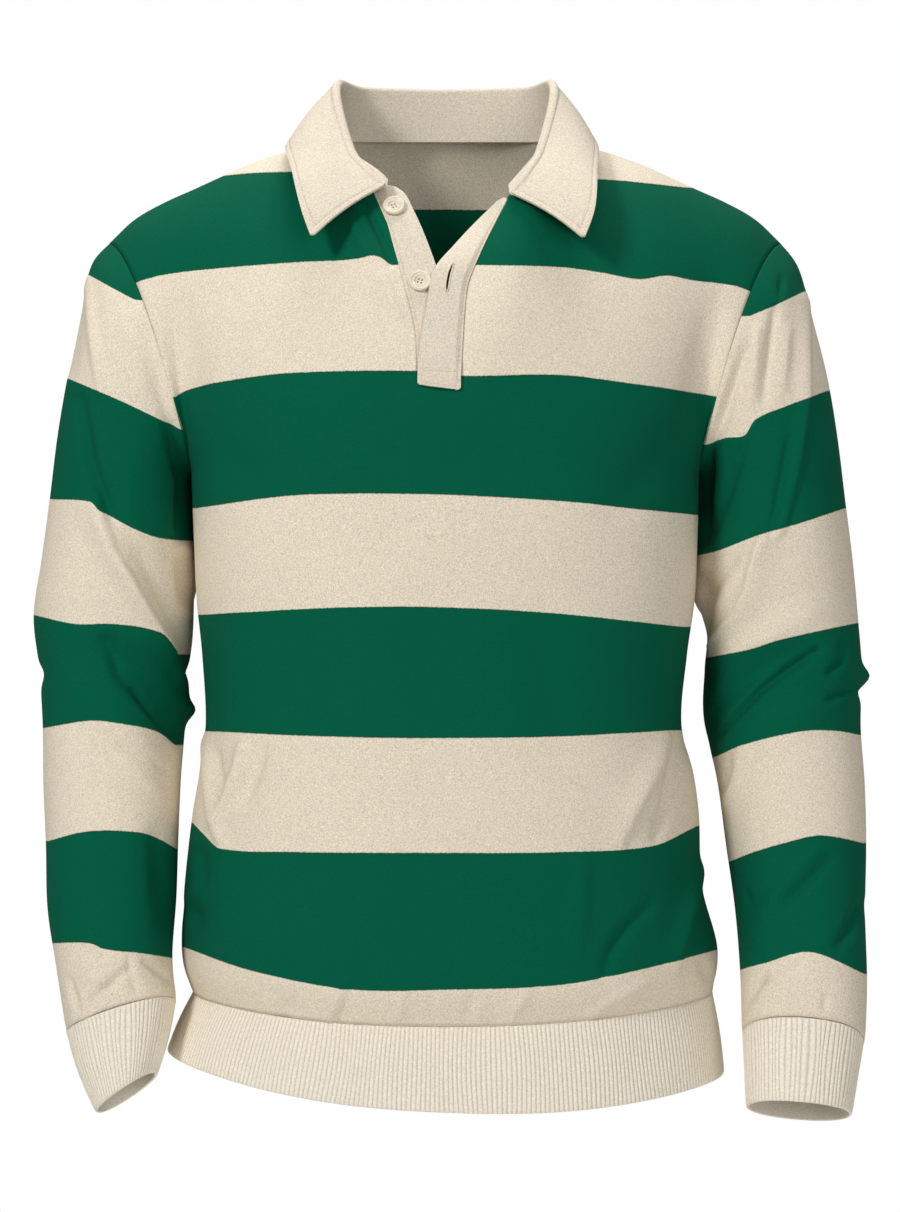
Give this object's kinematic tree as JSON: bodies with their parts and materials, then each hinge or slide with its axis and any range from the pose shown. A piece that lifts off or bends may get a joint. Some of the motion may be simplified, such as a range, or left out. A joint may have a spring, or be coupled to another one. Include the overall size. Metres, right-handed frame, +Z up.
{
  "type": "rugby shirt",
  "caption": "Long-sleeved striped rugby shirt in the form a wearer gives it, with a folded collar open at the neck, a buttoned placket, and ribbed cuffs and waistband.",
  "frame": {"origin": "midway between the neck ends of the two shoulder seams, where the shirt hangs on the wearer's shoulders", "axes": "+Z up, the front faces -Y, +X towards the wearer's left"},
  "size_m": [0.6037, 0.251, 0.7471],
  "materials": {
    "jersey": "fine cotton jersey, striped in cream",
    "rib": "ribbed knit",
    "trim": "smooth cotton twill",
    "button": "satin"
  },
  "bodies": {
    "root": {"front": "jersey", "back": "jersey", "sleeve_right": "jersey", "sleeve_left": "jersey", "waistband": "rib", "cuff_right": "rib", "cuff_left": "rib", "collar": "trim", "placket_button_strip": "trim", "placket_hole_strip": "trim", "button_upper": "button", "button_lower": "button"}
  },
  "joints": []
}
